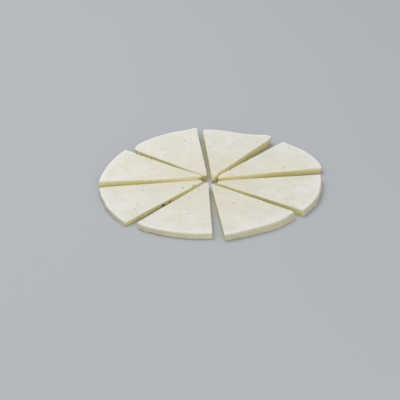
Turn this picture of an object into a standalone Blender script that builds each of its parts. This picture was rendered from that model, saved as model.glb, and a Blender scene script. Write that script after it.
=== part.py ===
"""Young sheep cheese, cut in eight thin slices that lie together in a round.

Every slice is made the way the real one is. A thin round is turned from the
wheel's profile, two straight cuts that start near the middle leave one wedge,
a third cut takes the very tip off, and the eyes, the small holes in the paste,
are cut out of it. The slices then lie flat side by side, their tips together.

Metres, +Z up. The origin is in the middle of the underside, and +Y runs along
the gap between the two back slices.
"""
import math

import bmesh
import bpy
from mathutils import Matrix, Vector, noise

MM = 0.001

# Driving dimensions
WHEEL_RADIUS = 100 * MM        # the wheel is 200 mm across
SLICE_THICKNESS = 7 * MM       # the usual depth of one cut
TOP_EDGE_ROUND = 2.0 * MM      # soft edge between the top face and the rim
FOOT_EDGE_ROUND = 0.7 * MM     # tighter edge between the rim and the underside
RIM_BELLY = 0.4 * MM           # how far the rim swells out at half height

# Fineness of the faceted faces
WHEEL_STEPS = 72               # steps round a whole wheel
RING_STEP = 10 * MM            # distance between the rings of the top face
ROUND_STEPS = 3                # facets across a rounded edge
CUT_COLUMN = 6.5 * MM          # width of one facet along a cut face
CUT_ROWS = 3                   # facets up a cut face
SMOOTH_ANGLE = math.radians(50)  # steeper edges than this stay sharp

# Unevenness of the real surfaces: height of the waves and their length
TOP_WAVE = (0.22 * MM, 26 * MM)
RIM_WAVE = (0.45 * MM, 13 * MM)
CUT_WAVE = (0.20 * MM, 9 * MM)

# The cutting blocks reach past the slice on every side
CUTTER_MARGIN = 12 * MM
CORNER_LENGTH = 10 * MM        # over which a cut draws in at the rim
BEHIND_TIP = 60 * MM           # how far behind the tip a cut's block starts
LONGEST_REACH = 1.15           # in wheel radii
ROWS_BEYOND = 2.5              # facet rows of a block below and above the slice

# A broken place is rough: height and length of its bumps, in its own sizes
CHIP_WAVE = (0.3, 0.5)

PASTE_COLOUR = (0.76, 0.72, 0.60)
PASTE_ROUGHNESS = 0.55

# The eight slices, clockwise from the back left one.
#   tip      where the two cuts cross, x and y in mm from the middle
#   bearing  direction from the tip to the middle of the rim, degrees from +X
#   spread   angle between the two cuts, degrees
#   reach    length of the left and the right cut, in wheel radii
#   thick    thickness, in usual thicknesses
#   rim      how far the rim stands out of the wheel's arc, at nine even places
#            from its right corner to its left one, mm
#   taper    how far the rim draws in at the foot, at its left and right corner, mm
#   lean     how far the left and the right cut face step out at the foot, mm
#   corner   how far the left and the right cut draw in where they meet the rim, mm
#   blunt    how much of the left and the right cut the broken tip lacks, mm
#   droop    how far the tip sinks, mm, and where along the slice that starts and ends
#   eyes     along the slice, across it to the left, width, length, turn in
#            degrees, depth; all in mm but the turn
#   chips    broken places: along, across to the left, height, size, in mm
SLICES = [
    dict(name="slice_back_left", tip=(-2.2, 1), bearing=115.3, spread=42.3, reach=(0.983, 1.08),
         thick=1, rim=(1, 0.1, 0.3, 1.6, 2, 2.9, 3.3, 3.4, 0.3),
         taper=(1.5, 0.5), lean=(0.3, 0.2), corner=(0, 0), blunt=(9.6, 7.2), droop=(2.2, 6, 34),
         eyes=[(81, -15.9, 1.8, 3.9, -25, 0.9), (45, 12.3, 1.3, 1.8, -25, 0.5)],
         chips=[]),
    dict(name="slice_back_right", tip=(2.1, -2.2), bearing=72.3, spread=42.3, reach=(1.04, 1.02),
         thick=1.19, rim=(-0.9, -2, -6, -7.2, -7, -5.7, -2.9, -1.6, 0),
         taper=(1, 1), lean=(0.9, -0.8), corner=(1.5, 2.6), blunt=(3.8, 7.4), droop=(7, 3.5, 15),
         eyes=[(62.6, 18, 2.6, 3.2, 18, 0.6), (35.9, 7.2, 1.3, 1.9, 18, 0.5)],
         chips=[(23.2, -9.6, 5, 3.4), (43, -17.4, 5.6, 3)]),
    dict(name="slice_right_back", tip=(3.45, -1.1), bearing=24.5, spread=39, reach=(0.98, 1.035),
         thick=0.95, rim=(0.6, 1.5, 1.6, 1.4, 1.4, 1.1, 0.4, 0.7, 1.2),
         taper=(1.5, 1.9), lean=(0.2, -0.7), corner=(0, 0), blunt=(5.6, 4.6), droop=(0.7, 5, 16),
         eyes=[(53.4, 9.9, 2.1, 2.4, 65, 0.5), (67.6, -14.5, 2.3, 3.2, 65, 1)],
         chips=[]),
    dict(name="slice_right_front", tip=(1.9, -7.6), bearing=-19.5, spread=40, reach=(1.03, 1.042),
         thick=1, rim=(-1.1, -0.8, -0.7, -0.4, -0.5, -1, -1.1, -0.7, -0.4),
         taper=(0, 0), lean=(0.3, -1), corner=(0, 0), blunt=(4.6, 5.8), droop=(0.9, 5, 17),
         eyes=[],
         chips=[]),
    dict(name="slice_front_right", tip=(0.3, -11.8), bearing=-62.8, spread=44, reach=(0.965, 0.975),
         thick=1, rim=(-0.8, -0.8, -1.4, -1.7, -0.9, 0.1, 0.5, 0.3, -0.2),
         taper=(-1.2, 0.6), lean=(0.3, -0.3), corner=(0, 0), blunt=(1.6, 1.5), droop=(0.4, 2, 12),
         eyes=[(45, -0.8, 3, 3.2, 63, 1), (55.1, 18.6, 2.2, 2.3, 63, 0.7)],
         chips=[]),
    dict(name="slice_front_left", tip=(-2, -5.5), bearing=-111.2, spread=42.9, reach=(0.975, 0.995),
         thick=0.92, rim=(-1.1, -0.7, -0.7, -0.4, -0.5, -0.3, -0.1, 0.1, 0.3),
         taper=(0.3, 0.9), lean=(0.3, 0.2), corner=(0, 0), blunt=(2.6, 3), droop=(0.5, 3, 14),
         eyes=[(35.5, -5.7, 2.3, 3.2, 21, 0.6), (64.6, 2.9, 2.8, 4.8, -69, 0.5)],
         chips=[]),
    dict(name="slice_left_front", tip=(-4.3, 0.6), bearing=-156.6, spread=42.4, reach=(1.059, 1.012),
         thick=0.66, rim=(-0.2, -0.8, -1.6, -2.3, -1.7, -1.7, -1.4, -1, -0.7),
         taper=(0.6, 0.6), lean=(-0.3, 0.3), corner=(0, 0), blunt=(4.7, 3.5), droop=(0.5, 4, 12),
         eyes=[(25.4, 3.8, 2.3, 2.6, 67, 0.7), (59.8, -11.4, 1.3, 1.8, 67, 0.6),
               (74.1, 9.3, 2.3, 3, 67, 0.7), (80.7, 19.2, 1.9, 2.8, 67, 0.7)],
         chips=[(53.6, 21, 1.5, 3.6), (44.7, 17.5, 1.3, 2.8), (15.2, 7.4, 4.6, 5)]),
    dict(name="slice_left_back", tip=(-6.5, 2.2), bearing=158, spread=40.3, reach=(1.001, 1.014),
         thick=0.89, rim=(0.3, 0.1, -0.7, -1.1, -1.4, -1.8, -1.5, -1, -0.3),
         taper=(0.9, 0.3), lean=(0.3, 0.3), corner=(0, 0), blunt=(2.7, 3.5), droop=(0.5, 3, 11),
         eyes=[(71.2, -10.2, 2.1, 3, -68, 0.5), (76.1, 1.4, 1.5, 2, -68, 0.6),
               (64.3, -1.7, 1.5, 2, -68, 0.5), (44.5, 5.5, 1.5, 2, -68, 0.6)],
         chips=[(43, 16.4, 0.6, 2.4)]),
]


def wave(point, height_and_length, seed):
    """Smooth unevenness at a point, between plus and minus the height."""
    height, length = height_and_length
    shift = Vector((13.7 * seed, 5.3 * seed, 29.1 * seed))
    return height * noise.noise(point / length + shift)


def paste_material(name, tint):
    """Matt ivory paste, a little lighter or darker on each slice."""
    material = bpy.data.materials.new(name)
    material.use_nodes = True
    shader = material.node_tree.nodes["Principled BSDF"]
    shader.inputs["Base Color"].default_value = (*[c * tint for c in PASTE_COLOUR], 1.0)
    shader.inputs["Roughness"].default_value = PASTE_ROUGHNESS
    shader.inputs["Metallic"].default_value = 0.0
    return material


def new_object(name, mesh_data, collection):
    """Turn a finished bmesh into an object of the given collection."""
    mesh = bpy.data.meshes.new(name)
    mesh_data.to_mesh(mesh)
    mesh_data.free()
    obj = bpy.data.objects.new(name, mesh)
    collection.objects.link(obj)
    return obj


def arc_points(centre, radius, start, end, steps):
    """Points along an arc in the (radius, height) plane, angles in degrees."""
    angles = [math.radians(start + (end - start) * i / steps) for i in range(steps + 1)]
    return [(centre[0] + radius * math.cos(a), centre[1] + radius * math.sin(a)) for a in angles]


def wheel_profile(thickness):
    """Half section of a thin round of the wheel, from the top's middle to the foot's."""
    foot = FOOT_EDGE_ROUND
    top = TOP_EDGE_ROUND
    flat_top = WHEEL_RADIUS - top
    rings = math.ceil(flat_top / RING_STEP)
    profile = [(flat_top * i / rings, thickness) for i in range(rings)]
    profile += arc_points((flat_top, thickness - top), top, 90, 0, ROUND_STEPS)
    profile += [(WHEEL_RADIUS + RIM_BELLY, thickness * 0.5)]
    profile += arc_points((WHEEL_RADIUS - foot, foot), foot, 0, -90, ROUND_STEPS - 1)
    profile += [(0.0, 0.0)]
    return profile


def wheel_centre(spec):
    """Middle of the wheel whose arc joins both outer corners, from the slice's tip."""
    half = math.radians(spec["spread"] / 2)
    left, right = (r * WHEEL_RADIUS for r in spec["reach"])
    left_corner = Vector((left * math.cos(half), left * math.sin(half)))
    right_corner = Vector((right * math.cos(half), -right * math.sin(half)))
    chord = left_corner - right_corner
    inward = Vector((-chord.y, chord.x)).normalized()
    depth = math.sqrt(WHEEL_RADIUS ** 2 - (chord.length / 2) ** 2)
    return (left_corner + right_corner) / 2 + inward * depth, -inward, depth


def along_rim(values, share):
    """Smooth curve through values set evenly from share -1 to 1."""
    place = min(max((share + 1) / 2, 0), 1) * (len(values) - 1)
    i = min(int(place), len(values) - 2)
    t = place - i
    a, b, c, d = (values[min(max(i + k, 0), len(values) - 1)] for k in (-1, 0, 1, 2))
    return b + t / 2 * (c - a + t * (2 * a - 5 * b + 4 * c - d + t * (3 * (b - c) + d - a)))


def sunk_tip(spec, distance):
    """How far the top lies lower at a distance from the tip, less and less outwards."""
    depth, start, end = (value * MM for value in spec["droop"])
    return depth * min(max((end - distance) / (end - start), 0), 1) ** 2


def wheel_round(spec, thickness, seed, collection):
    """The thin round the slice is cut from, with the slice's tip at the origin."""
    centre, outward, chord_distance = wheel_centre(spec)
    mesh = bmesh.new()
    verts = [mesh.verts.new((r, 0.0, z)) for r, z in wheel_profile(thickness)]
    edges = [mesh.edges.new(pair) for pair in zip(verts, verts[1:])]
    bmesh.ops.spin(mesh, geom=verts + edges, cent=(0, 0, 0), axis=(0, 0, 1),
                   angle=math.tau, steps=WHEEL_STEPS)
    bmesh.ops.remove_doubles(mesh, verts=mesh.verts, dist=0.01 * MM)
    bmesh.ops.recalc_face_normals(mesh, faces=mesh.faces)
    half_chord_angle = math.acos(chord_distance / WHEEL_RADIUS)
    for vert in mesh.verts:
        ray = Vector((vert.co.x, vert.co.y))
        if ray.length > 0:
            # -1 at the slice's right corner, 1 at its left one
            turned_left = outward.cross(ray) > 0
            share = ray.angle(outward) / half_chord_angle * (1 if turned_left else -1)
            # the rim alone swells a little here and there, and draws in at the foot
            swell = wave(Vector((ray.x, ray.y, vert.co.z)), RIM_WAVE, seed)
            swell += along_rim(spec["rim"], share) * MM
            left_taper, right_taper = spec["taper"]
            leftness = min(max((share + 1) / 2, 0), 1)
            taper = right_taper + (left_taper - right_taper) * leftness
            swell -= taper * MM * (1 - vert.co.z / thickness)
            ray *= 1 + swell / WHEEL_RADIUS * (ray.length / WHEEL_RADIUS) ** 4
        vert.co.x, vert.co.y = ray + centre
        if vert.co.z > thickness / 2:
            vert.co.z += wave(Vector((ray.x, ray.y, 0)), TOP_WAVE, seed)
            vert.co.z -= sunk_tip(spec, Vector((vert.co.x, vert.co.y)).length)
    round_object = new_object(spec["name"], mesh, collection)
    round_object.data.shade_smooth()
    round_object.data.set_sharp_from_angle(angle=SMOOTH_ANGLE)
    return round_object


def cutting_block(name, spec, side, thickness, seed, collection):
    """Block outside one cut. Its near face is the cut, gently wavy; side is 1 or -1."""
    length = LONGEST_REACH * WHEEL_RADIUS + CUTTER_MARGIN + BEHIND_TIP
    columns = round(length / CUT_COLUMN)
    rows = round(CUT_ROWS + 2 * ROWS_BEYOND)
    row_height = thickness / CUT_ROWS
    lean = spec["lean"][0 if side > 0 else 1] * MM
    corner = spec["corner"][0 if side > 0 else 1] * MM
    rim_end = spec["reach"][0 if side > 0 else 1] * WHEEL_RADIUS
    mesh = bmesh.new()
    bmesh.ops.create_grid(mesh, x_segments=columns, y_segments=rows, size=0.5)
    for vert in mesh.verts:
        along = vert.co.x * length + length / 2 - BEHIND_TIP
        up = ((vert.co.y + 0.5) * rows - ROWS_BEYOND) * row_height
        out = lean * (1 - up / thickness) + wave(Vector((along, up, side)), CUT_WAVE, -seed)
        out -= corner * max(1 - (rim_end - along) / CORNER_LENGTH, 0) ** 2
        vert.co = (along, side * out, up)
    extruded = bmesh.ops.extrude_face_region(mesh, geom=mesh.faces[:])
    far_face = [item for item in extruded["geom"] if isinstance(item, bmesh.types.BMVert)]
    for vert in far_face:
        vert.co.y = side * (WHEEL_RADIUS + 2 * CUTTER_MARGIN)
    bmesh.ops.recalc_face_normals(mesh, faces=mesh.faces)
    turn = Matrix.Rotation(side * math.radians(spec["spread"] / 2), 4, "Z")
    bmesh.ops.transform(mesh, matrix=turn, verts=mesh.verts)
    return new_object(name, mesh, collection)


def tip_block(name, spec, thickness, collection):
    """Box over the half of the round behind the tip. It takes the very tip off too."""
    half = math.radians(spec["spread"] / 2)
    left, right = (value * MM for value in spec["blunt"])
    left_end = Vector((left * math.cos(half), left * math.sin(half)))
    right_end = Vector((right * math.cos(half), -right * math.sin(half)))
    middle = (left_end + right_end) / 2
    face = left_end - right_end
    mesh = bmesh.new()
    bmesh.ops.create_cube(mesh, size=1.0)
    size = Vector((2 * WHEEL_RADIUS, 3 * WHEEL_RADIUS, thickness + CUTTER_MARGIN))
    bmesh.ops.scale(mesh, vec=size, verts=mesh.verts)
    bmesh.ops.translate(mesh, verts=mesh.verts, vec=(-size.x / 2, 0, thickness / 2))
    turn = Matrix.Rotation(math.atan2(-face.x, face.y), 4, "Z")
    bmesh.ops.transform(mesh, matrix=turn, verts=mesh.verts)
    bmesh.ops.translate(mesh, verts=mesh.verts, vec=(middle.x, middle.y, 0))
    return new_object(name, mesh, collection)


def eye_cutter(name, eye, top_height, collection):
    """Flattened ball that leaves one eye, a shallow hole, in the top face."""
    along, left, width, length, turn, depth = eye
    mesh = bmesh.new()
    bmesh.ops.create_icosphere(mesh, subdivisions=2, radius=1.0)
    bmesh.ops.scale(mesh, vec=(length / 2 * MM, width / 2 * MM, depth * MM), verts=mesh.verts)
    bmesh.ops.rotate(mesh, verts=mesh.verts, matrix=Matrix.Rotation(math.radians(turn), 3, "Z"))
    bmesh.ops.translate(mesh, verts=mesh.verts, vec=(along * MM, left * MM, top_height))
    return new_object(name, mesh, collection)


def chip_cutter(name, chip, seed, collection):
    """Rough lump that leaves a broken place in a cut face or a tip."""
    along, left, up, size = (value * MM for value in chip)
    mesh = bmesh.new()
    bmesh.ops.create_icosphere(mesh, subdivisions=2, radius=size / 2)
    height, length = CHIP_WAVE
    for vert in mesh.verts:
        vert.co += vert.co.normalized() * wave(vert.co, (height * size, length * size), seed)
    bmesh.ops.translate(mesh, verts=mesh.verts, vec=(along, left, up))
    return new_object(name, mesh, collection)


def cut_slice(spec, seed, parts, cutters):
    """One slice: the thin round, less the blocks outside its cuts and its eyes."""
    name = spec["name"]
    thickness = spec["thick"] * SLICE_THICKNESS
    slice_object = wheel_round(spec, thickness, seed, parts)
    slice_object.data.materials.append(paste_material(name + "_paste", 1 - 0.01 * (seed % 3)))

    tools = bpy.data.collections.new(name + "_cutters")
    cutters.children.link(tools)
    cutting_block(name + "_left_cut", spec, 1, thickness, seed, tools)
    cutting_block(name + "_right_cut", spec, -1, thickness, seed, tools)
    tip_block(name + "_tip_cut", spec, thickness, tools)
    for number, eye in enumerate(spec["eyes"]):
        top_height = thickness - sunk_tip(spec, math.hypot(eye[0], eye[1]) * MM)
        eye_cutter(f"{name}_eye_{number}", eye, top_height, tools)
    for number, chip in enumerate(spec["chips"]):
        chip_cutter(f"{name}_chip_{number}", chip, seed + number, tools)
    for tool in tools.objects:
        tool.parent = slice_object
        tool.display_type = "WIRE"
        tool.hide_render = True

    cut = slice_object.modifiers.new("Cuts and eyes", "BOOLEAN")
    cut.operation = "DIFFERENCE"
    cut.solver = "EXACT"
    cut.operand_type = "COLLECTION"
    cut.collection = tools

    slice_object.location = (spec["tip"][0] * MM, spec["tip"][1] * MM, 0)
    slice_object.rotation_euler.z = math.radians(spec["bearing"])
    return slice_object


def build():
    for obj in list(bpy.data.objects):
        bpy.data.objects.remove(obj)
    parts = bpy.data.collections.new("sheep_cheese_slices")
    cutters = bpy.data.collections.new("cutters")
    for collection in (parts, cutters):
        bpy.context.scene.collection.children.link(collection)
    for seed, spec in enumerate(SLICES, start=1):
        cut_slice(spec, seed, parts, cutters)


build()
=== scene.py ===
import itertools
import math
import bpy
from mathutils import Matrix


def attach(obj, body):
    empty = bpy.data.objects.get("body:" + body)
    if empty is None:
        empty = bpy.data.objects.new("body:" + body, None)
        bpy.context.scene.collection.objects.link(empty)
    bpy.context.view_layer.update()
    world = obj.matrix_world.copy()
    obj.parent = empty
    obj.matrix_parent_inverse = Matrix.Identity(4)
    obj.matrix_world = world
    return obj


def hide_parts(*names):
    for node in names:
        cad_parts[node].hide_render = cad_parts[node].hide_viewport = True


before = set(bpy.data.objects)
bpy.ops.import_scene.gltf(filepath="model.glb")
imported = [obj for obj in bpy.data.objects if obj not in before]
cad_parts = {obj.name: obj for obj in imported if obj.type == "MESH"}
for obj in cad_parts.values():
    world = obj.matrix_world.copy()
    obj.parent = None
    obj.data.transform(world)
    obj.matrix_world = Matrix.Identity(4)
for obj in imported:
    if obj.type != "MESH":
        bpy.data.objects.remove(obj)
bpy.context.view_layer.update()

from types import SimpleNamespace

import bpy
import numpy as np
from mathutils import Matrix

print("frame loaded:", len(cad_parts), "slices")

mm = 0.001
tiny = 1e-9                               # keeps a division off zero


def curdNoise(points, size, seed):
    # gradient noise: a random slope at each corner of a cubic lattice of the given size, and between
    # the corners the slopes blended by 6f^5 - 15f^4 + 10f^3, then stretched to about -1 to 1
    rng = np.random.default_rng(seed)
    slopes = rng.normal(size=(256, 3))
    slopes /= np.linalg.norm(slopes, axis=1)[:, None]
    shuffle = rng.permutation(256)
    cell = np.floor(points / size).astype(int)
    inside = points / size - cell
    blend = inside ** 3 * (inside * (inside * 6 - 15) + 10)
    total = np.zeros(points.shape[:-1])
    for corner in itertools.product((0, 1), repeat=3):
        corner = np.array(corner)
        x, y, z = np.moveaxis(cell + corner, -1, 0)
        slope = slopes[shuffle[(shuffle[(shuffle[x % 256] + y) % 256] + z) % 256]]
        weight = np.prod(np.where(corner, blend, 1 - blend), axis=-1)
        total += weight * (slope * (inside - corner)).sum(axis=-1)
    return total * curd["stretch"]


def curdLayers(points, kind, seed, deep=0):
    # one kind of noise: its layers added up, each with a seed of its own
    first, layers = curd[kind]
    return sum((height + more * deep) * curdNoise(points, size, seed + first + step)
               for step, (height, more, size) in enumerate(layers))


def near(distance, reach):
    # 1 at the edge and 0 past the reach, squared so that it dies away softly
    return np.clip(1 - distance / reach, 0, 1) ** 2


def roundedDrop(distance, radius):
    # how far a quarter round of that radius lies below its flat at a distance from the edge
    inward = np.clip(radius - distance, 0, radius)
    return radius - np.sqrt(radius ** 2 - inward ** 2)


wheel = {                                 # all lengths in mm
    "radius": 100, "thickness": 7,        # as in the solids
    "footRound": 0.45,                    # the soft foot of the rim
    "cutRound": 0.35, "cutFoot": 0.15,    # the crisp edges of a cut face
    "cutRoundFade": 3,                    # from the tip, where that edge is half as wide
    "footBlend": 2.5,                     # from one foot to the other at the corners
    "cornerRound": 0.7,                   # in plan, where a cut meets the rim
    "tipRound": 0.3, "tipCorner": 1,      # the tip's top edge, and its corners in plan
    "cornerLength": 10,                   # over which a cut draws in at the rim
    "bowLength": 45,                      # over which its top edge draws in at the tip
    "belly": 0.4,
    "taperFade": 8, "cutFade": 4,         # powers by which the taper and a cut's moves fade inwards
    "rimDepth": 3, "cutDepth": 1.5,       # how far in the moves of a rim and of a cut face reach
    "tornDepth": 6, "tornShare": 0.4,     # the same for the tip's lumps, and their share on the cuts
    "tornReach": 0.7,                     # share of the drooping length that is torn
    "tornColour": 1.2, "crumble": 0.5,    # how strongly it shows in the paste and on the top
    "eyeDepth": 0.8,                      # share of an eye's depth that its hollow reaches
    "bandWidth": 12,                      # of the top that pales towards the rim
    "faceEdge": 0.5, "tipEdge": 0.1,      # of a wall that still counts as cut face; of the tip's top
    "leastHeight": 1,                     # that a top can sink to
    "middle": 0.6,                        # of the underside, as a share of the radius
    "sharp": 60,                          # degrees between faces from which an edge isn't smoothed
    "tipRows": (0, 0.001, 0.0025),        # close rows at the tip, as shares of the slice's length
    "rimAngle": 40, "rimSteps": 400,      # degrees and points of the arc that the rim is read from
    "grid": 0.45,                         # distance between surface points
    "roundRows": 7, "edgeColumns": 4, "wallRows": 16, "footRows": 4,
}

# The kinds of noise: where the seeds of each start, counted from the slice's own, and its layers, each
# with its height in mm, what that gains from the top down to the foot, and its size in mm.
curd = {
    "waves": (0, [(0.22, 0, 26), (0.07, 0, 7)]),
    "grain": (2, [(0.035, 0, 1.9), (0.02, 0, 0.9)]),
    "rim": (4, [(0.35, 0, 13), (0.15, 0.25, 3.5), (0.07, 0.25, 1.6)]),
    "cut": (7, [(0.21, 0, 9), (0.13, 0, 2.4), (0.05, 0, 1)]),
    "crumble": (12, [(1, 0, 2.6), (0.5, 0, 1.2)]),
    "lumps": (14, [(1, 0, 2.2), (0.5, 0, 1.1)]),
    "seedStep": 20, "shift": (37, 11, 53),    # from one slice to the next: of the seeds, and in space
    "stretch": 1.6,
}

# a chip: mm of the top that belong to the cut face, roughness and size of its lumps as shares of its
# own size, where their seed starts, and the depth from which its middle takes its full painted shade
chip = {"faceDepth": 0.6, "rough": 0.25, "lumpShare": 0.4, "seed": 11, "fullShadeDepth": 0.9}

# Each slice: tip, bearing, spread, reach, thick, rim, taper, lean, blunt and droop as the solids have
# them. rim: mm outside the wheel's arc at nine places from the right corner to the left one; taper:
# mm the rim draws in at its foot, left and right corner; lean: mm each cut steps out at its foot;
# corner: mm each cut draws in where it meets the rim; blunt: mm of each cut that the broken tip
# lacks; droop: mm the tip sinks, where that starts and ends; rough: mm of lumps on the broken tip;
# round: mm of the rim's top edge, right and left corner; bow: mm the top edge of each cut draws in
# at the tip; tone: painted light and shade, a factor on its paste on the top, the cuts, the rim and
# the cuts near the tip; eyes: along, to the left, width, length, turn in degrees, depth, stain, which
# above 1 also paints shade into the eye's middle; chips: along, to the left, height, size and the
# painted shade of a broken place in a cut face.
slices = {
    "back_left": dict(
        tip=(-2.2, 1), bearing=115.3, spread=42.3, reach=(0.983, 1.08), thick=1,
        rim=(1, 0.1, 0.3, 1.6, 2, 2.9, 3.3, 3.4, 0.3), taper=(1.5, 0.5),
        lean=(0.3, 0.2), corner=(1.2, 0), blunt=(9.6, 7.2), droop=(2.2, 6, 34),
        rough=1, round=(1.5, 1.5), bow=(5.8, 0), paintedLight=(1.01, 0.97, 0.95, 1),
        eyes=[(81, -15.9, 1.8, 3.9, -25, 0.9, 1.2), (76.3, 10.9, 2.2, 5.2, 65, 0.4, 0.8),
              (49.9, 6.9, 2.1, 2.4, -25, 0.4, 0.9), (50.3, -6.3, 1.8, 4, 65, 0.3, 0.35),
              (70.1, 22.9, 1.9, 2, -25, 0.4, 0.8), (45, 12.3, 1.3, 1.8, -25, 0.5, 0.9)],
        chips=[]),
    "back_right": dict(
        tip=(2.1, -2.2), bearing=72.3, spread=42.3, reach=(1.04, 1.02), thick=1.19,
        rim=(-0.9, -2, -6, -7.2, -7, -5.7, -2.9, -1.6, 0), taper=(1, 1),
        lean=(0.9, -0.8), corner=(1.5, 2.6), blunt=(3.8, 7.4), droop=(7, 3.5, 15),
        rough=1, round=(1, 1), bow=(0, 3.6), paintedLight=(0.985, 0.95, 0.72, 1),
        eyes=[(62.6, 18, 2.6, 3.2, 18, 0.6, 0.4), (35.9, 7.2, 1.3, 1.9, 18, 0.5, 1),
              (30.1, -4.7, 2.5, 3.9, 18, 0.4, 0.15), (62.5, -5.1, 3.8, 5.1, 18, 0.3, 0.12),
              (88.2, 9.5, 1.8, 4, -72, 0.3, 0.3)],
        chips=[(22.6, -9.2, 4.6, 3.4, 0.4), (43, -17.4, 5.6, 3, 0.2)]),
    "right_back": dict(
        tip=(3.45, -1.1), bearing=24.5, spread=39, reach=(0.98, 1.035), thick=0.95,
        rim=(0.6, 1.5, 1.6, 1.4, 1.4, 1.1, 0.4, 0.7, 1.2), taper=(1.5, 1.9),
        lean=(0.2, -0.7), corner=(0, 0), blunt=(5.6, 4.6), droop=(0.7, 5, 16),
        rough=0.3, round=(1.6, 1.6), bow=(0, 1), paintedLight=(0.98, 1, 0.8, 1),
        eyes=[(53.4, 9.9, 2.1, 2.4, 65, 0.5, 0.5), (67.6, -14.5, 2.3, 3.2, 65, 1, 1.4),
              (67.3, 10.8, 1.5, 1.8, 65, 0.3, 0.1), (20.8, 7.2, 3, 3, 44, 1.6, 1)],
        chips=[]),
    "right_front": dict(
        tip=(1.9, -7.6), bearing=-19.5, spread=40, reach=(1.03, 1.042), thick=1,
        rim=(-1.1, -0.8, -0.7, -0.4, -0.5, -1, -1.1, -0.7, -0.4), taper=(0, 0),
        lean=(0.3, -1), corner=(0, 0), blunt=(4.6, 5.8), droop=(0.9, 5, 17),
        rough=0.25, round=(2, 2), bow=(0, 0), paintedLight=(0.985, 1.06, 0.93, 1),
        eyes=[(82.6, -9.3, 2.3, 3, -70, 0.4, 0.2), (87.8, 7.7, 2.3, 2.4, -70, 0.3, 0.35),
              (45.4, -5.9, 2.4, 2.9, 20, 0.3, 0.6), (51.3, 10.9, 1.8, 4.8, 20, 0.3, 0.3)],
        chips=[]),
    "front_right": dict(
        tip=(0.3, -11.8), bearing=-62.8, spread=44, reach=(0.965, 0.975), thick=1,
        rim=(-0.8, -0.8, -1.4, -1.7, -0.9, 0.1, 0.5, 0.3, -0.2), taper=(-1.2, 0.6),
        lean=(0.3, -0.3), corner=(0, 0), blunt=(1.6, 1.5), droop=(0.4, 2, 12),
        rough=0.15, round=(2.7, 2.7), bow=(0, 0), paintedLight=(0.975, 1, 0.9, 1),
        eyes=[(45, -0.8, 3, 3.2, 63, 1, 0.7), (55.1, 18.6, 2.2, 2.3, 63, 0.7, 0.8),
              (53.1, -14.5, 1.7, 3.9, -27, 0.4, 0.4), (39.8, 4.2, 1.6, 2.9, 63, 0.3, 0.7),
              (63, 18.6, 1.4, 2.3, 63, 0.4, 1)],
        chips=[]),
    "front_left": dict(
        tip=(-2, -5.5), bearing=-111.2, spread=42.9, reach=(0.975, 0.995), thick=0.92,
        rim=(-1.1, -0.7, -0.7, -0.4, -0.5, -0.3, -0.1, 0.1, 0.3), taper=(0.3, 0.9),
        lean=(0.3, 0.2), corner=(0, 0), blunt=(2.6, 3), droop=(0.5, 3, 14),
        rough=0.15, round=(2.7, 2.7), bow=(0, 0), paintedLight=(0.975, 1, 1.03, 1),
        eyes=[(35.5, -5.7, 2.3, 3.2, 21, 0.6, 0.55), (64.6, 2.9, 2.8, 4.8, -69, 0.5, 0.5),
              (72.7, -2, 1.3, 1.8, 21, 0.4, 0.7), (79.6, 0.7, 1.3, 1.8, 21, 0.4, 0.4)],
        chips=[]),
    "left_front": dict(
        tip=(-4.3, 0.6), bearing=-156.6, spread=42.4, reach=(1.059, 1.012), thick=0.66,
        rim=(-0.2, -0.8, -1.6, -2.3, -1.7, -1.7, -1.4, -1, -0.7), taper=(0.6, 0.6),
        lean=(-0.3, 0.3), corner=(1.6, 0), blunt=(4.7, 3.5), droop=(0.5, 4, 12),
        rough=0.2, round=(1.6, 3.6), bow=(0, 0), paintedLight=(0.985, 0.965, 0.9, 1),
        eyes=[(25.4, 3.8, 2.8, 3.2, 67, 0.7, 1.5), (59.8, -11.4, 1.3, 1.8, 67, 0.6, 1.1),
              (48.9, -5.5, 1.5, 1.8, 67, 0.4, 0.9), (51.3, -10.3, 1.3, 1.6, 67, 0.4, 1.2),
              (74.1, 9.3, 2.3, 3, 67, 0.7, 0.5), (80.7, 19.2, 1.9, 2.8, 67, 0.7, 0.75),
              (89.2, 11, 1.9, 2, 67, 0.4, 0.5), (83, -5.1, 2.3, 2.8, 67, 0.3, 0.25),
              (14.2, 5.2, 3.4, 5.8, 21, 0.7, 1.15)],
        chips=[(52.6, 20.7, 0.4, 4.2, 1), (44.7, 17.5, 1.3, 2.8, 0.6), (15.2, 7.4, 4.6, 5, 0)]),
    "left_back": dict(
        tip=(-6.5, 2.2), bearing=158, spread=40.3, reach=(1.001, 1.014), thick=0.89,
        rim=(0.3, 0.1, -0.7, -1.1, -1.4, -1.8, -1.5, -1, -0.3), taper=(0.9, 0.3),
        lean=(0.3, 0.3), corner=(0, 0), blunt=(2.7, 3.5), droop=(0.5, 3, 11),
        rough=0.2, round=(1.8, 1.8), bow=(4.5, -4), paintedLight=(1.02, 1.04, 0.9, 0.87),
        eyes=[(86.3, -8.4, 1.7, 4.7, -68, 0.4, 0.3), (71.2, -10.2, 2.1, 3, -68, 0.5, 0.45),
              (65.2, -10.8, 1.7, 2.2, -68, 0.4, 0.25), (76.1, 1.4, 1.5, 2, -68, 0.6, 1),
              (64.3, -1.7, 1.5, 2, -68, 0.5, 0.8), (53.7, -3.1, 2.5, 2.6, -68, 0.4, 0.6),
              (42.1, -4.1, 2.6, 2.9, 22, 0.4, 0.4), (44.5, 5.5, 1.5, 2, -68, 0.6, 0.6),
              (79.5, -29.2, 2.6, 2.8, 0, 1.6, 2.2), (74.4, -27.3, 2, 2.6, 0, 1.3, 2),
              (68.2, -25, 1.2, 1.8, 0, 0.8, 1.2), (62.5, -22.9, 1.8, 2.4, 0, 1.2, 2)],
        chips=[(43, 16.4, 0.6, 2.4, 0.3)]),
}


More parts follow.
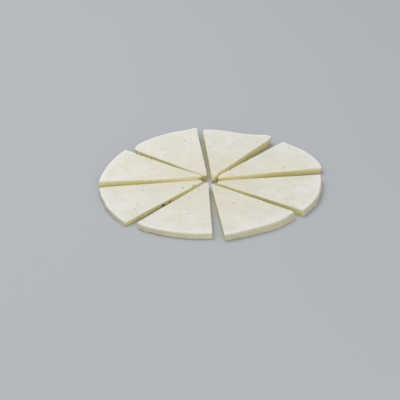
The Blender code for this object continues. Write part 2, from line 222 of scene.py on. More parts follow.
def alongRim(values, share):
    # a smooth curve (Catmull-Rom) through values set evenly from share -1 to 1
    values = np.array([values[0], *values, values[-1]], float)
    place = np.clip((share + 1) / 2, 0, 1) * (len(values) - 3)
    i = np.minimum(place.astype(int), len(values) - 4)
    t = place - i
    a, b, c, d = (values[i + k] for k in range(4))
    return b + t / 2 * (c - a + t * (2 * a - 5 * b + 4 * c - d + t * (3 * (b - c) + d - a)))


def rimReach(spec):
    # the rim seen from the tip: its distance at each angle from the slice's middle line. The rim is
    # the wheel's circle through both outer corners, moved out along its radius by the rim values.
    # The angles in the circle go a little past both corners, so that every angle from the tip is met.
    radius = wheel["radius"]
    half = math.radians(spec["spread"] / 2)
    left, right = (radius * r for r in spec["reach"])
    leftCorner = left * np.array([math.cos(half), math.sin(half)])
    rightCorner = right * np.array([math.cos(half), -math.sin(half)])
    chord = leftCorner - rightCorner
    outward = np.array([chord[1], -chord[0]]) / np.linalg.norm(chord)
    chordDistance = math.sqrt(radius ** 2 - (chord @ chord) / 4)
    centre = (leftCorner + rightCorner) / 2 - outward * chordDistance
    offAxis = np.radians(np.linspace(-wheel["rimAngle"], wheel["rimAngle"], wheel["rimSteps"]))
    rimRadius = radius + alongRim(spec["rim"], offAxis / math.acos(chordDistance / radius))
    turn = math.atan2(outward[1], outward[0]) + offAxis
    x, y = centre[:, None] + rimRadius * np.stack([np.cos(turn), np.sin(turn)])
    return np.arctan2(y, x), np.hypot(x, y)


def tipLine(spec, phi, half):
    # distance from the tip to the straight line that takes the tip off: between its ends on the
    # cuts, 1/distance goes from one end's to the other's by the sines of the angles to them
    left, right = spec["blunt"]
    return math.sin(2 * half) / (np.sin(half + phi) / left + np.sin(half - phi) / right)


def sliceGrid(spec):
    # rows run from the tip (S = 0) to the rim (S = 1), columns from the right cut (q = -1) to the left
    # one (q = 1). The outer columns crowd into the crisp edge of each cut, the last rows into the
    # rim's round.
    half = math.radians(spec["spread"] / 2)
    reach = rimReach(spec)
    length = wheel["radius"]

    roundShare = max(spec["round"]) / length
    rows = round(length * (1 - roundShare) / wheel["grid"])
    bend = np.linspace(math.pi / 2, 0, wheel["roundRows"] + 1)[1:]
    S = np.concatenate([wheel["tipRows"], np.linspace(0, 1 - roundShare, rows + 1)[1:],
                        1 - roundShare * (1 - np.cos(bend))])
    columns = round(2 * length * half / wheel["grid"])
    edgeBend = 1 - np.cos(np.linspace(0, math.pi / 2, wheel["edgeColumns"] + 1))[:-1]
    edgeOnes = np.ones(wheel["edgeColumns"])
    inner = np.concatenate([-edgeOnes, np.linspace(-1, 1, columns + 1), edgeOnes])
    outer = np.concatenate([edgeBend - 1, np.zeros(columns + 1), (1 - edgeBend)[::-1]])

    S, inner = np.meshgrid(S, inner, indexing="ij")
    outer = np.broadcast_to(outer, S.shape)
    q = inner.copy()
    for _ in range(2):                    # again, since the edge's width depends on q itself
        phi = q * half
        start = tipLine(spec, phi, half)
        rho = start + S * (np.interp(phi, *reach) - start)
        edge = wheel["cutRound"] * rho / (rho + wheel["cutRoundFade"])
        share = edge / (rho * half)
        q = inner * (1 - share) + outer * share

    n, m = S.shape
    index = np.arange(n * m).reshape(n, m)
    loop = np.concatenate([index[:, 0], index[-1, 1:], index[-2::-1, -1], index[0, -2:0:-1]])
    quads = np.stack([index[:-1, :-1], index[1:, :-1], index[1:, 1:], index[:-1, 1:]], -1).reshape(-1, 4)
    return S.ravel(), q.ravel(), edge.ravel(), quads, loop, half, reach


def eyeHollows(eyes, plan):
    # depth and stain of the eyes at each point: of a hollow h = 1 - u^2 - v^2 the depth goes by its
    # root, so each eye is half an egg, and the stain by h itself; a stain above 1 is painted shade in
    # the eye's middle
    sunk, stainAndShade = np.zeros(len(plan)), np.zeros(len(plan))
    for along, left, width, long, turn, depth, stain in eyes:
        turn = math.radians(turn)
        dx, dy = plan[:, 0] - along, plan[:, 1] - left
        u = (dx * math.cos(turn) + dy * math.sin(turn)) / (long / 2)
        v = (dy * math.cos(turn) - dx * math.sin(turn)) / (width / 2)
        hollow = np.clip(1 - u ** 2 - v ** 2, 0, 1)
        sunk += np.sqrt(hollow) * depth * wheel["eyeDepth"]
        stainAndShade = np.maximum(stainAndShade, hollow * stain)
    return sunk, stainAndShade


def slicePoints(spec, seed):
    # every surface point of a slice, the top's first: its place in plan and its distances to the
    # edges. The walls hang from the edge of the top, ring by ring, so they start as copies of its loop.
    topS, topQ, topEdge, quads, loop, half, reach = sliceGrid(spec)
    rings = wheel["wallRows"] + wheel["footRows"]
    S, q, edge = (np.concatenate([top, np.tile(top[loop], rings)]) for top in (topS, topQ, topEdge))
    phi = q * half
    start = tipLine(spec, phi, half)
    length = np.interp(phi, *reach) - start
    rho = start + S * length
    ring = np.concatenate([np.zeros(len(topS), int), np.repeat(np.arange(1, rings + 1), len(loop))])
    fromLeft, fromRight = rho * half * (1 - q), rho * half * (1 + q)
    return SimpleNamespace(
        S=S, q=q, rho=rho, edge=edge, loop=loop, quads=quads, ring=ring, rings=rings,
        plan=np.stack([rho * np.cos(phi), rho * np.sin(phi)], -1),
        outward=np.stack([np.cos(phi), np.sin(phi)], -1),
        leftOut=np.array([-math.sin(half), math.cos(half)]),
        rightOut=np.array([-math.sin(half), -math.cos(half)]),
        fromRim=(1 - S) * length, fromTip=S * length,
        fromLeft=fromLeft, fromRight=fromRight, fromCut=np.minimum(fromLeft, fromRight),
        isTop=ring == 0, rimRound=np.interp(q, [-1, 1], spec["round"]),
        thickness=spec["thick"] * wheel["thickness"], seedShift=np.array(curd["shift"]) * seed)


def topHeights(spec, at, seed):
    # slow waves and curd grain, sinking at the edges and towards the tip; also how torn the tip is,
    # and the stain of the eyes, which above 1 is painted shade
    flat = np.column_stack([at.plan, np.zeros(len(at.plan))]) + at.seedShift
    waves = curdLayers(flat, "waves", seed)
    grain = curdLayers(flat, "grain", seed)
    sunk, sinkStart, sinkEnd = spec["droop"]
    droop = sunk * np.clip(1 - (at.rho - sinkStart) / (sinkEnd - sinkStart), 0, 1) ** 2
    torn = near(np.clip(at.rho - sinkStart, 0, None), (sinkEnd - sinkStart) * wheel["tornReach"])
    crumble = curdLayers(flat, "crumble", seed) * spec["rough"] * torn
    drop = roundedDrop(at.fromRim, at.rimRound) + roundedDrop(at.fromCut, at.edge)
    drop += roundedDrop(at.fromTip, wheel["tipRound"])
    small = (grain + wheel["crumble"] * crumble) * at.isTop
    z = np.maximum(at.thickness + waves + small - drop - droop, wheel["leastHeight"])
    eyeDepth, eyeStainAndShade = eyeHollows(spec["eyes"], at.plan)
    return z - eyeDepth * at.isTop, torn, eyeStainAndShade * at.isTop


def movedPlan(spec, at, z, deep, foot, inset, seed):
    # everything that moves a point sideways: taper, lean, belly, foot, corners, waves and lumps
    solid = np.column_stack([at.plan, z]) + at.seedShift
    rimWave = curdLayers(solid, "rim", seed, deep)
    cutWave = curdLayers(solid, "cut", seed)
    lumps = curdLayers(solid, "lumps", seed) * spec["rough"]

    bellyUp = np.sin(math.pi * np.clip(z / (at.thickness - at.rimRound), 0, 1))
    taper = np.interp(at.q, [-1, 1], spec["taper"][::-1])
    rimWave += wheel["belly"] * bellyUp - foot * inset
    rimMove = near(at.fromRim, wheel["rimDepth"]) * rimWave - taper * deep * at.S ** wheel["taperFade"]
    cutWave -= wheel["cutFoot"] * inset
    rimMove -= near(at.fromTip, wheel["cutDepth"]) * (cutWave + lumps)

    drawnIn = near(at.fromRim, wheel["cornerLength"])
    bow = (1 - deep) * near(at.rho, wheel["bowLength"])
    cutWave -= near(at.fromTip, wheel["tornDepth"]) * wheel["tornShare"] * lumps
    cutMoves = []
    for side, towards, fromSide in ((0, at.q, at.fromLeft), (1, -at.q, at.fromRight)):
        move = spec["lean"][side] * deep - spec["corner"][side] * drawnIn - spec["bow"][side] * bow
        move *= np.clip(towards, 0, 1) ** wheel["cutFade"]
        cutMoves.append(move + near(fromSide, wheel["cutDepth"]) * cutWave)
    leftMove, rightMove = cutMoves

    # a corner in plan: both its distances, a and b, shrink so that the longer one lies on the arc
    for distance, corner, way in ((at.fromRim, wheel["cornerRound"], -1),
                                  (at.fromTip, wheel["tipCorner"], 1)):
        a, b = np.clip(corner - distance, 0, None), np.clip(corner - at.fromCut, 0, None)
        shrink = 1 - np.maximum(a, b) / np.maximum(np.hypot(a, b), tiny)
        shrink = np.where((a > 0) & (b > 0), shrink, 0)
        rimMove += way * a * shrink
        leftMove -= b * shrink * (at.q > 0)
        rightMove -= b * shrink * (at.q < 0)
    return (at.plan + at.outward * rimMove[:, None] + at.leftOut * leftMove[:, None]
            + at.rightOut * rightMove[:, None])


def breakChips(spec, at, points, z, seed):
    # broken places: a rough ball taken out of a cut face, along the face's outward direction, and how
    # much painted shade darkens each
    solid = np.column_stack([at.plan, z]) + at.seedShift
    paintedShade = np.zeros(len(points))
    for along, left, up, size, dark in spec["chips"]:
        out = at.leftOut if left > 0 else at.rightOut
        side = (at.fromLeft if left > 0 else at.fromRight) < chip["faceDepth"]
        offset = points - np.array([along, left, up])
        bumps = curdNoise(solid, size * chip["lumpShare"], seed + chip["seed"])
        radius = size / 2 * (1 + chip["rough"] * bumps)
        through = offset[:, :2] @ out
        across = (offset ** 2).sum(axis=1) - through ** 2
        push = np.clip(np.sqrt(np.clip(radius ** 2 - across, 0, None)) + through, 0, None)
        push = np.where(side & (across < radius ** 2), push, 0)
        points[:, :2] -= out * push[:, None]
        paintedShade = np.maximum(paintedShade, dark * np.clip(push / chip["fullShadeDepth"], 0, 1))
    return paintedShade


def cheeseSlice(name, spec, seed):
    # a top, walls hung from its edge and a flat underside, worked out with the tip's corner at the
    # origin and the slice's middle line along x, then turned and moved to its place in the round
    at = slicePoints(spec, seed)
    topCount, around = int(at.isTop.sum()), len(at.loop)
    z, torn, eyeStainAndShade = topHeights(spec, at, seed)

    # the walls: straight rows down to the foot's round, then the round itself
    foot = wheel["footRound"] - wheel["cutFoot"]
    foot = wheel["cutFoot"] + foot * near(at.fromRim, wheel["footBlend"])
    down = np.clip(at.ring / wheel["wallRows"], 0, 1)
    bend = np.clip((at.ring - wheel["wallRows"]) / wheel["footRows"], 0, 1) * math.pi / 2
    wallStart = np.concatenate([z[:topCount], np.tile(z[at.loop], at.rings)])
    z = np.where(at.isTop, z, wallStart + (foot - wallStart) * down - foot * np.sin(bend))
    deep = np.clip(1 - z / at.thickness, 0, 1)
    plan = movedPlan(spec, at, z, deep, foot, 1 - np.cos(bend), seed)
    points = np.column_stack([plan, z])
    paintedShade = breakChips(spec, at, points, z, seed)

    # the underside: a flat fan from its middle
    fanCentre = len(points)
    points = np.vstack([points, [[wheel["middle"] * wheel["radius"], 0, 0]]])
    wallIndex = topCount + np.arange(at.rings * around).reshape(at.rings, around)
    ringIndex = np.vstack([at.loop, wallIndex])
    nextIndex = np.roll(ringIndex, -1, axis=1)
    walls = np.stack([ringIndex[:-1], ringIndex[1:], nextIndex[1:], nextIndex[:-1]], -1).reshape(-1, 4)
    fan = np.column_stack([nextIndex[-1], ringIndex[-1], np.full(around, fanCentre)])

    # to the slice's place in the round
    turn = math.radians(spec["bearing"])
    x, y = points[:, 0].copy(), points[:, 1].copy()
    points[:, 0] = spec["tip"][0] + x * math.cos(turn) - y * math.sin(turn)
    points[:, 1] = spec["tip"][1] + x * math.sin(turn) + y * math.cos(turn)

    # what the paste reads at each point: 1 on a cut face, the rim or a mark and 0 away from it; from
    # the top to the foot (deepDown) and from the tip to the rim (alongSlice) it goes from 0 to 1
    onTopEdge = 1 - np.minimum(at.fromCut, at.fromTip + wheel["tipEdge"]) / at.edge
    onWall = 1 - np.minimum(at.fromCut, at.fromTip) / wheel["faceEdge"]
    masks = {
        "cutFace": np.clip(np.where(at.isTop, onTopEdge, onWall), 0, 1),
        "rimSide": np.clip(1 - at.fromRim / at.rimRound, 0, 1),
        "rimNear": np.clip(1 - at.fromRim / wheel["bandWidth"], 0, 1),
        "deepDown": deep,
        "alongSlice": np.clip(at.rho / wheel["radius"], 0, 1),
        "eyeStainAndShade": eyeStainAndShade,
        "paintedShade": paintedShade,
        "tornTip": np.clip(torn * spec["rough"] * wheel["tornColour"], 0, 1),
    }
    return finishedPiece(name, points, np.vstack([at.quads, walls]).tolist() + fan.tolist(), masks)


def finishedPiece(name, points, faces, masks):
    # the mesh in metres, with each mask as an attribute; points past a mask's end, which is the middle
    # of an underside, take its last value
    mesh = bpy.data.meshes.new(name)
    mesh.from_pydata((points * mm).tolist(), [], faces)
    for key, values in masks.items():
        layer = mesh.attributes.new(key, "FLOAT", "POINT")
        filled = np.append(values, np.full(len(points) - len(values), values[-1]))
        layer.data.foreach_set("value", filled.astype(np.float32))
    mesh.shade_smooth()
    mesh.set_sharp_from_angle(angle=math.radians(wheel["sharp"]))
    mesh.validate()
    piece = bpy.data.objects.new(name, mesh)
    bpy.context.scene.collection.objects.link(piece)
    return piece


# lumps of the same paste that broke off the tips: x, y and size in mm, and height as a share of size
crumbs = {
    "places": [(7.1, 6.1, 2.6, 1.1), (4, 4.8, 2, 0.8), (8.6, 4.3, 1.2, 0.8), (-3.8, 5.2, 1.2, 0.7),
               (-7.9, 6.9, 0.9, 0.8)],
    "around": 18, "up": 12,               # points of each
    "rough": 0.35, "noiseScale": 1.3, "noiseShift": 7, "seed": 500,
    "pressed": 0.12,                      # share of the points that the flat foot takes off
    "shadeHeight": 3,                     # mm above the board where the dark foot has gone
}


def crumbHeap(name, spec):
    # each lump is a ball, radius 1 + noise, pressed flat from below and set down on the board
    turn, tilt = np.meshgrid(np.linspace(0, 2 * math.pi, spec["around"] + 1)[:-1],
                             np.linspace(0, math.pi, spec["up"] + 1)[1:-1])
    ball = [np.sin(tilt) * np.cos(turn), np.sin(tilt) * np.sin(turn), np.cos(tilt)]
    ball = np.stack(ball, -1).reshape(-1, 3)
    ball = np.vstack([ball, [[0, 0, 1], [0, 0, -1]]])
    index = np.arange(len(ball) - 2).reshape(tilt.shape)
    beside = np.roll(index, -1, axis=1)
    quads = np.stack([index[:-1], index[1:], beside[1:], beside[:-1]], -1).reshape(-1, 4).tolist()
    top, bottom = len(ball) - 2, len(ball) - 1
    caps = [[top, a, b] for a, b in zip(index[0], beside[0])]
    caps += [[bottom, b, a] for a, b in zip(index[-1], beside[-1])]
    points, faces = [], []
    for number, (x, y, size, flat) in enumerate(spec["places"]):
        bumps = curdNoise(ball * spec["noiseScale"] + number * spec["noiseShift"], 1,
                          spec["seed"] + number)
        lump = ball * (1 + spec["rough"] * bumps)[:, None]
        lump *= np.array([1, 1, flat]) * size / 2
        lump[:, 2] -= np.quantile(lump[:, 2], spec["pressed"])
        lump[:, 2] = np.maximum(lump[:, 2], 0)
        faces += [[int(i) + len(points) * len(ball) for i in face] for face in quads + caps]
        points.append(lump + np.array([x, y, 0]))
    points = np.vstack(points)
    masks = {"deepDown": np.clip(1 - points[:, 2] / spec["shadeHeight"], 0, 1)}
    return finishedPiece(name, points, faces, masks)


def linear(red, green, blue):
    # screen colour, 0 to 255, to the renderer's linear light
    channels = [c / 255 for c in (red, green, blue)]
    return [c / 12.92 if c <= 0.04045 else ((c + 0.055) / 1.055) ** 2.4 for c in channels] + [1.0]


class NodeBuilder:
    # adds nodes to one tree, laid out in a few rows, and joins them
    across, down, rows = 180, 200, 3

    def __init__(self, tree):
        self.tree = tree
        self.column = 0

    def add(self, kind, settings=None, **inputs):
        node = self.tree.nodes.new(kind)
        node.location = (self.column * self.across, -self.down * (self.column % self.rows))
        self.column += 1
        for key, value in (settings or {}).items():
            setattr(node, key, value)
        for key, value in inputs.items():
            self.feed(node.inputs[key.replace("_", " ")], value)
        return node

    def feed(self, socket, value):
        if isinstance(value, bpy.types.NodeSocket):
            self.tree.links.new(value, socket)
        else:
            socket.default_value = value

    def math(self, operation, a, b=0.0, clamp=False):
        node = self.add("ShaderNodeMath", {"operation": operation, "use_clamp": clamp})
        self.feed(node.inputs[0], a)
        self.feed(node.inputs[1], b)
        return node.outputs[0]

    def mix(self, share, a, b, blend="MIX"):
        # sockets 6 and 7, and 2 of the outputs, are the node's colour ones
        node = self.add("ShaderNodeMix", {"data_type": "RGBA", "blend_type": blend})
        self.feed(node.inputs[0], share)
        self.feed(node.inputs[6], a)
        self.feed(node.inputs[7], b)
        return node.outputs[2]

    def ramp(self, share, stops):
        node = self.add("ShaderNodeValToRGB", Fac=share)
        elements = node.color_ramp.elements
        while len(elements) < len(stops):
            elements.new(0.5)
        for element, (place, colour) in zip(elements, stops):
            element.position = place
            element.color = colour
        return node.outputs["Color"]

    def span(self, value, low, high, to=(0.0, 1.0)):
        # an S-curve from one of "to" at low to the other at high
        node = self.add("ShaderNodeMapRange", {"interpolation_type": "SMOOTHSTEP"}, Value=value)
        for key, number in zip(("From Min", "From Max", "To Min", "To Max"), (low, high, *to)):
            self.feed(node.inputs[key], number)
        return node.outputs["Result"]

    def noise(self, place, scale, detail=2.0, roughness=0.5):
        return self.add("ShaderNodeTexNoise", Vector=place, Scale=scale, Detail=detail,
                        Roughness=roughness).outputs["Fac"]

    def stretch(self, place, scale):
        return self.add("ShaderNodeMapping", Vector=place, Scale=scale).outputs["Vector"]

    def group(self, group, **inputs):
        node = self.add("ShaderNodeGroup", {"node_tree": group}, **inputs)
        return node.outputs


def effectGroup(name, inputs, outputs):
    # an empty effect with named inputs and outputs, and the builder for its inside
    group = bpy.data.node_groups.new(name, "ShaderNodeTree")
    for key, (kind, value) in inputs.items():
        socket = group.interface.new_socket(key, in_out="INPUT", socket_type="NodeSocket" + kind)
        if value is not None:
            socket.default_value = value
    for key, kind in outputs.items():
        group.interface.new_socket(key, in_out="OUTPUT", socket_type="NodeSocket" + kind)
    b = NodeBuilder(group)
    return group, b, b.add("NodeGroupInput").outputs, b.add("NodeGroupOutput").inputs


curdEffect = {                            # scales per metre, or as a share of the effect's own scale
    "cloudEdge": (0.38, 0.68), "speckEdge": (0.56, 0.72), "patchEdge": (0.45, 0.65),
    "speckScale": 6.0, "patchScale": 1.7,
    "holeEdge": (0.08, 0.36),             # from a pore's middle to its rim, as a share of a cell
    "grainScale": 900.0, "coarseScale": 330.0, "lineScale": 500.0, "lineStretch": (1.0, 1.0, 6.0),
}


def curdMottleGroup():
    # clouds a few mm across, and small specks where two noises are both high
    inputs = {"Place": ("Vector", None), "Scale": ("Float", 120.0)}
    group, b, given, out = effectGroup("curdMottle", inputs, {"Clouds": "Float", "Specks": "Float"})
    clouds = b.noise(given["Place"], given["Scale"], 4.0, 0.6)
    b.feed(out["Clouds"], b.span(clouds, *curdEffect["cloudEdge"]))
    fineScale, patchScale = (b.math("MULTIPLY", given["Scale"], curdEffect[key])
                             for key in ("speckScale", "patchScale"))
    fine = b.span(b.noise(given["Place"], fineScale, 2.0, 0.6), *curdEffect["speckEdge"])
    patch = b.span(b.noise(given["Place"], patchScale, 1.0), *curdEffect["patchEdge"])
    b.feed(out["Specks"], b.math("MULTIPLY", fine, patch))
    return group


def curdPoresGroup():
    # tiny round holes: the middle of a Voronoi cell, in the few cells whose own number is high
    inputs = {"Place": ("Vector", None), "Scale": ("Float", 400.0), "Share": ("Float", 0.2)}
    group, b, given, out = effectGroup("curdPores", inputs, {"Holes": "Float"})
    cells = b.add("ShaderNodeTexVoronoi", Vector=given["Place"], Scale=given["Scale"])
    number = b.add("ShaderNodeSeparateColor", Color=cells.outputs["Color"]).outputs["Red"]
    chosen = b.math("GREATER_THAN", number, b.math("SUBTRACT", 1.0, given["Share"]))
    hole = b.span(cells.outputs["Distance"], *curdEffect["holeEdge"], (1.0, 0.0))
    b.feed(out["Holes"], b.math("MULTIPLY", hole, chosen))
    return group


def curdReliefGroup():
    # grain of the curd, faint drag lines of the knife, and the pores sunk into both
    inputs = {"Place": ("Vector", None), "Grain": ("Float", 1.0), "Drag": ("Float", 0.3),
              "Holes": ("Float", 0.0)}
    group, b, given, out = effectGroup("curdRelief", inputs, {"Height": "Float"})
    look = curdEffect
    grain = b.math("MULTIPLY", b.noise(given["Place"], look["grainScale"], 3.0), given["Grain"])
    coarse = b.math("MULTIPLY", b.noise(given["Place"], look["coarseScale"], 2.0), given["Grain"])
    lines = b.noise(b.stretch(given["Place"], look["lineStretch"]), look["lineScale"], 2.0)
    height = b.math("ADD", grain, b.math("ADD", coarse, b.math("MULTIPLY", lines, given["Drag"])))
    b.feed(out["Height"], b.math("SUBTRACT", height, given["Holes"]))
    return group


effects = {"mottle": curdMottleGroup(), "pores": curdPoresGroup(), "relief": curdReliefGroup()}

pasteLook = {
    "nearTip": linear(222, 218, 202), "nearRim": linear(229, 227, 219),
    # paintedRimHighlight is a painted highlight: the rounded top edge along the rim catching light
    "paintedRimHighlight": linear(231, 229, 222), "paintedHighlightEdge": (0.62, 0.84), "tipToRim": (0.1, 0.95),
    "warmCloud": linear(223, 212, 184), "coolCloud": linear(207, 206, 183),
    "warmShare": 0.45, "coolShare": 0.4, "rimShare": 0.6,    # of the clouds, and of nearRim at the rim
    "speck": linear(164, 154, 114), "speckShare": 0.3,
    # down a cut face and down the rim, and how far the bands wander up and down; a cut face's darker
    # foot is painted shade, and the rim's pale foot is partly its own paler edge and partly painted light
    "cutFace": [(0.0, linear(231, 228, 208)), (0.13, linear(227, 221, 184)),
                (0.33, linear(224, 213, 142)), (0.7, linear(217, 205, 124)),
                (1.0, linear(202, 190, 112))],
    "rim": [(0.0, linear(226, 223, 214)), (0.18, linear(213, 208, 188)), (0.38, linear(207, 202, 166)),
            (0.66, linear(213, 207, 172)), (1.0, linear(232, 226, 204))],
    "ragged": (-0.06, 0.06),
    "cutPatch": linear(228, 221, 176), "patchShare": 0.4,
    "cutNearTip": (1.15, 1.155, 1.27), "tipPart": (0.2, 0.62),    # cuts are brighter near the tip
    "paleFrom": (0.6, 1.0), "paleWidth": (0.0, 0.16),             # and their pale band wider at the rim
    "rimEdge": (0.25, 0.75), "cutEdge": (0.2, 0.8), "paintedLightEdge": (0.4, 0.98), "grainEdge": (0.4, 0.9),
    # the eyes' own stain colour; eyeShadeShare darkens a stain above 1 towards painted shade
    "eye": linear(186, 168, 84), "eyeShare": 0.9, "eyeShadeShare": 0.45,
    "torn": linear(188, 170, 96), "tornPale": linear(220, 211, 168), "tornDeep": (0.08, 0.6),
    # painted shade: the near-black of the notches, of the eyes' middles and of the crumbs' feet
    "paintedShade": linear(22, 16, 6), "paintedShadeShare": 0.9,
    # scales of the effects, per metre, and the share of the cells that hold a pore or a dent
    "mottle": 110.0, "slowClouds": 38.0, "patches": 85.0, "lumps": 420.0,
    "tall": (1.0, 1.0, 0.2), "flat": (1.0, 1.0, 2.0),    # slow clouds are drawn out upwards, patches flat
    "pores": (520.0, 0.1), "dents": (190.0, 0.16), "crumbMottle": 260.0,
    # painted shade darkens a crumb towards the board
    "crumbFootShade": (0.3, 1.0, (0.0, 0.5)),                 # where a crumb darkens downwards, and how much
    "roughness": (0.62, 0.42), "crumbRoughness": 0.5,    # matt top, moister cut faces
    "grain": (0.22, 0.8), "crumbGrain": 0.5,             # finer on the top, coarser on the rim
    "drag": 0.35, "poreDepth": 0.8, "grainDepth": 0.12 * mm, "bumpStrength": 0.5,
    "subsurface": 0.3, "subsurfaceScale": 2.0 * mm, "subsurfaceRadius": (1.0, 0.78, 0.4),
}


def finishShader(material, b, colour, roughness, height):
    # relief is a bump of grainDepth, and the paste lets a little light through
    shader = material.node_tree.nodes["Principled BSDF"]
    b.feed(shader.inputs["Base Color"], colour)
    b.feed(shader.inputs["Roughness"], roughness)
    bump = b.add("ShaderNodeBump", Strength=pasteLook["bumpStrength"],
                 Distance=pasteLook["grainDepth"], Height=height)
    b.feed(shader.inputs["Normal"], bump.outputs["Normal"])
    shader.inputs["Subsurface Weight"].default_value = pasteLook["subsurface"]
    shader.inputs["Subsurface Scale"].default_value = pasteLook["subsurfaceScale"]
    shader.inputs["Subsurface Radius"].default_value = pasteLook["subsurfaceRadius"]
    return material


def startMaterial(name):
    # the builder of its nodes, and the place on the object that its patterns read
    material = bpy.data.materials.new(name)
    material.use_nodes = True
    b = NodeBuilder(material.node_tree)
    return material, b, b.add("ShaderNodeTexCoord").outputs["Object"]


def pasteMaterial(name, paintedLight):
    # one slice's paste: every slice has the same patterns, and tone, its painted light and shade,
    # multiplies their colours
    look = pasteLook
    material, b, place = startMaterial(name)
    read = {key: b.add("ShaderNodeAttribute", {"attribute_name": key}).outputs["Fac"]
            for key in ("cutFace", "rimSide", "rimNear", "deepDown", "alongSlice", "eyeStainAndShade",
                        "paintedShade", "tornTip")}
    tall, flat = b.stretch(place, look["tall"]), b.stretch(place, look["flat"])
    mottle = b.group(effects["mottle"], Place=place, Scale=look["mottle"])
    slow = b.group(effects["mottle"], Place=tall, Scale=look["slowClouds"])["Clouds"]
    patches = b.group(effects["mottle"], Place=flat, Scale=look["patches"])["Clouds"]
    lumps = b.group(effects["mottle"], Place=place, Scale=look["lumps"])["Clouds"]
    pores, dents = (b.group(effects["pores"], Place=place, Scale=scale, Share=share)["Holes"]
                    for scale, share in (look["pores"], look["dents"]))

    # the top is whiter towards the rim, with clouds of warmer and cooler curd
    topColour = b.mix(b.span(read["alongSlice"], *look["tipToRim"]), look["nearTip"], look["nearRim"])
    for mask, share, tint in ((mottle["Clouds"], "warmShare", "warmCloud"),
                              (slow, "coolShare", "coolCloud"), (read["rimNear"], "rimShare", "nearRim")):
        topColour = b.mix(b.math("MULTIPLY", mask, look[share]), topColour, look[tint])

    # the rim and the cut faces go from pale at their top edge to deeper cream below, with painted shade
    # at the foot of a cut face and, on the rim, a paler foot that is partly painted light; the pale band
    # of a cut face is wider near the rim, and ragged
    ragged = b.span(mottle["Clouds"], 0.0, 1.0, look["ragged"])
    rimColourAndLight = b.ramp(b.math("ADD", read["deepDown"], ragged), look["rim"])
    palePart = b.span(read["alongSlice"], *look["paleFrom"], look["paleWidth"])
    cutDepth = b.math("ADD", b.math("SUBTRACT", read["deepDown"], palePart), ragged)
    cutColourAndShade = b.ramp(cutDepth, look["cutFace"])
    cutColourAndShade = b.mix(b.math("MULTIPLY", patches, look["patchShare"]), cutColourAndShade, look["cutPatch"])
    tipPart = b.span(read["alongSlice"], *look["tipPart"], (1.0, 0.0))
    # tone's last value paints light and shade on the cuts near the tip
    tipTint = [value * paintedLight[3] for value in look["cutNearTip"]] + [1.0]
    cutColourAndShade = b.mix(tipPart, cutColourAndShade, tipTint, "MULTIPLY")
    # a painted highlight along the rim's top edge, where its round catches the light
    colour = b.mix(b.span(read["rimNear"], *look["paintedHighlightEdge"]), topColour, look["paintedRimHighlight"])
    colour = b.mix(b.span(read["rimSide"], *look["rimEdge"]), colour, rimColourAndLight)
    onCut = b.span(read["cutFace"], *look["cutEdge"])
    colour = b.mix(onCut, colour, cutColourAndShade)

    # small marks: eyes, specks, the torn tip and the notches, with painted shade in the notches and
    # in the middle of the eyes stained above 1
    for mask in (mottle["Specks"], b.math("MAXIMUM", pores, dents)):
        colour = b.mix(b.math("MULTIPLY", mask, look["speckShare"]), colour, look["speck"])
    stain = b.math("MULTIPLY", read["eyeStainAndShade"], look["eyeShare"], clamp=True)
    # where an eye's stain passes 1 its middle darkens to painted shade
    overOne = b.math("SUBTRACT", read["eyeStainAndShade"], 1.0, clamp=True)
    paintedEyeShade = b.math("MULTIPLY", overOne, look["eyeShadeShare"])
    colour = b.mix(paintedEyeShade, b.mix(stain, colour, look["eye"]), look["paintedShade"])
    tornPart = b.math("MULTIPLY", read["tornTip"], b.span(read["deepDown"], *look["tornDeep"]))
    colour = b.mix(tornPart, colour, b.mix(lumps, look["torn"], look["tornPale"]))
    # painted shade in the notches of the broken places
    colour = b.mix(b.math("MULTIPLY", read["paintedShade"], look["paintedShadeShare"]), colour, look["paintedShade"])
    # tone paints light and shade per slice: its top, rim and cut faces lighter or darker by how the light
    # falls on it
    topPaintedLight, cutPaintedLight, rimPaintedLight = ([value] * 3 + [1.0] for value in paintedLight[:3])
    slicePaintedLight = b.mix(b.span(read["rimSide"], *look["paintedLightEdge"]), topPaintedLight, rimPaintedLight)
    slicePaintedLight = b.mix(onCut, slicePaintedLight, cutPaintedLight)
    colour = b.mix(1.0, colour, slicePaintedLight, "MULTIPLY")

    roughness = b.span(read["cutFace"], *look["cutEdge"], look["roughness"])
    height = b.group(effects["relief"], Place=place,
                     Grain=b.span(read["rimSide"], *look["grainEdge"], look["grain"]),
                     Drag=b.math("MULTIPLY", read["cutFace"], look["drag"]),
                     Holes=b.math("MULTIPLY", pores, look["poreDepth"]))["Height"]
    return finishShader(material, b, colour, roughness, height)


def crumbMaterial(name):
    # torn paste in two clouded tints, with painted shade darkening it towards the foot
    look = pasteLook
    material, b, place = startMaterial(name)
    mottle = b.group(effects["mottle"], Place=place, Scale=look["crumbMottle"])
    deep = b.add("ShaderNodeAttribute", {"attribute_name": "deepDown"}).outputs["Fac"]
    colour = b.mix(mottle["Clouds"], look["torn"], look["tornPale"])
    footShade = b.span(deep, *look["crumbFootShade"])
    colour = b.mix(footShade, colour, look["paintedShade"])
    height = b.group(effects["relief"], Place=place, Grain=look["crumbGrain"], Drag=0.0)["Height"]
    return finishShader(material, b, colour, look["crumbRoughness"], height)


paste = {side: pasteMaterial("paste_" + side, spec["paintedLight"]) for side, spec in slices.items()}
for seed, (side, spec) in enumerate(slices.items(), start=1):
    piece = cheeseSlice("cheese_" + side, spec, seed * curd["seedStep"])
    piece.data.materials.append(paste[side])
    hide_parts("slice_" + side)
    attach(piece, "root")
    print(piece.name, len(piece.data.vertices), "points")

heap = crumbHeap("tip_crumbs", crumbs)
heap.data.materials.append(crumbMaterial("paste_crumbs"))
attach(heap, "root")
print("crumbs:", len(crumbs["places"]))

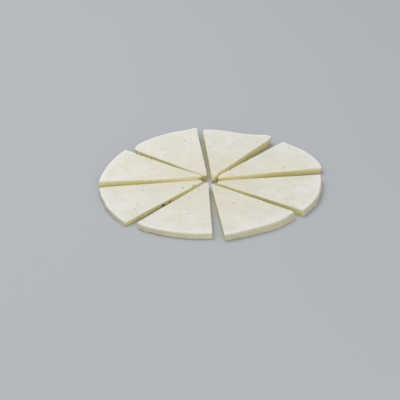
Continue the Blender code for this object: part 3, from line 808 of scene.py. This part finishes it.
studio = {
    "floorSize": 20.0, "floorDrop": 0.1 * mm, "floorColour": linear(178, 181, 185), "floorRoughness": 0.7,
    "camera": (-0.0107, -1.1898, 0.6388), "lookDown": 28.857, "roll": 3.228, "lens": 128.18,
    "sensorWidth": 36,
    "keyPlace": (-0.45, 0.55, 1.3), "keySize": 1.2, "keyPower": 11.0,
    "fillPlace": (0.35, -1.3, 0.75), "fillSize": 1.3, "fillPower": 9.0,
    "sky": (0.86, 0.87, 0.88, 1.0), "skyStrength": 0.55,
}


def makeFloor():
    half = studio["floorSize"] / 2
    mesh = bpy.data.meshes.new("floor")
    corners = [(-half, -half, 0), (half, -half, 0), (half, half, 0), (-half, half, 0)]
    mesh.from_pydata(corners, [], [(0, 1, 2, 3)])
    floor = bpy.data.objects.new("floor", mesh)
    floor.location.z = -studio["floorDrop"]
    bpy.context.scene.collection.objects.link(floor)
    material = bpy.data.materials.new("paleFloor")
    material.use_nodes = True
    shader = material.node_tree.nodes["Principled BSDF"]
    shader.inputs["Base Color"].default_value = studio["floorColour"]
    shader.inputs["Roughness"].default_value = studio["floorRoughness"]
    mesh.materials.append(material)


def makeLight(name):
    # a soft square light that faces the origin
    light = bpy.data.lights.new(name, "AREA")
    light.size = studio[name + "Size"]
    light.energy = studio[name + "Power"]
    lamp = bpy.data.objects.new(name, light)
    bpy.context.scene.collection.objects.link(lamp)
    lamp.location = studio[name + "Place"]
    lamp.rotation_euler = (-lamp.location).to_track_quat("-Z", "Y").to_euler()


def makeCamera():
    # it looks along y, tipped down, and is then rolled about its line of sight
    down, roll = math.radians(studio["lookDown"]), math.radians(studio["roll"])
    forward = np.array([0, math.cos(down), -math.sin(down)])
    level, over = np.array([1.0, 0, 0]), np.array([0, math.sin(down), math.cos(down)])
    right = level * math.cos(roll) - over * math.sin(roll)
    up = level * math.sin(roll) + over * math.cos(roll)
    data = bpy.data.cameras.new("camera")
    data.lens = studio["lens"]
    data.sensor_width = studio["sensorWidth"]
    camera = bpy.data.objects.new("camera", data)
    turn = Matrix(np.column_stack([right, up, -forward]).tolist()).to_4x4()
    camera.matrix_world = Matrix.Translation(studio["camera"]) @ turn
    bpy.context.scene.collection.objects.link(camera)
    bpy.context.scene.camera = camera


makeFloor()
makeLight("key")
makeLight("fill")
makeCamera()
world = bpy.data.worlds.new("softRoom")
world.use_nodes = True
world.node_tree.nodes["Background"].inputs["Color"].default_value = studio["sky"]
world.node_tree.nodes["Background"].inputs["Strength"].default_value = studio["skyStrength"]
bpy.context.scene.world = world
bpy.context.scene.view_settings.view_transform = "Standard"
print("studio ready")
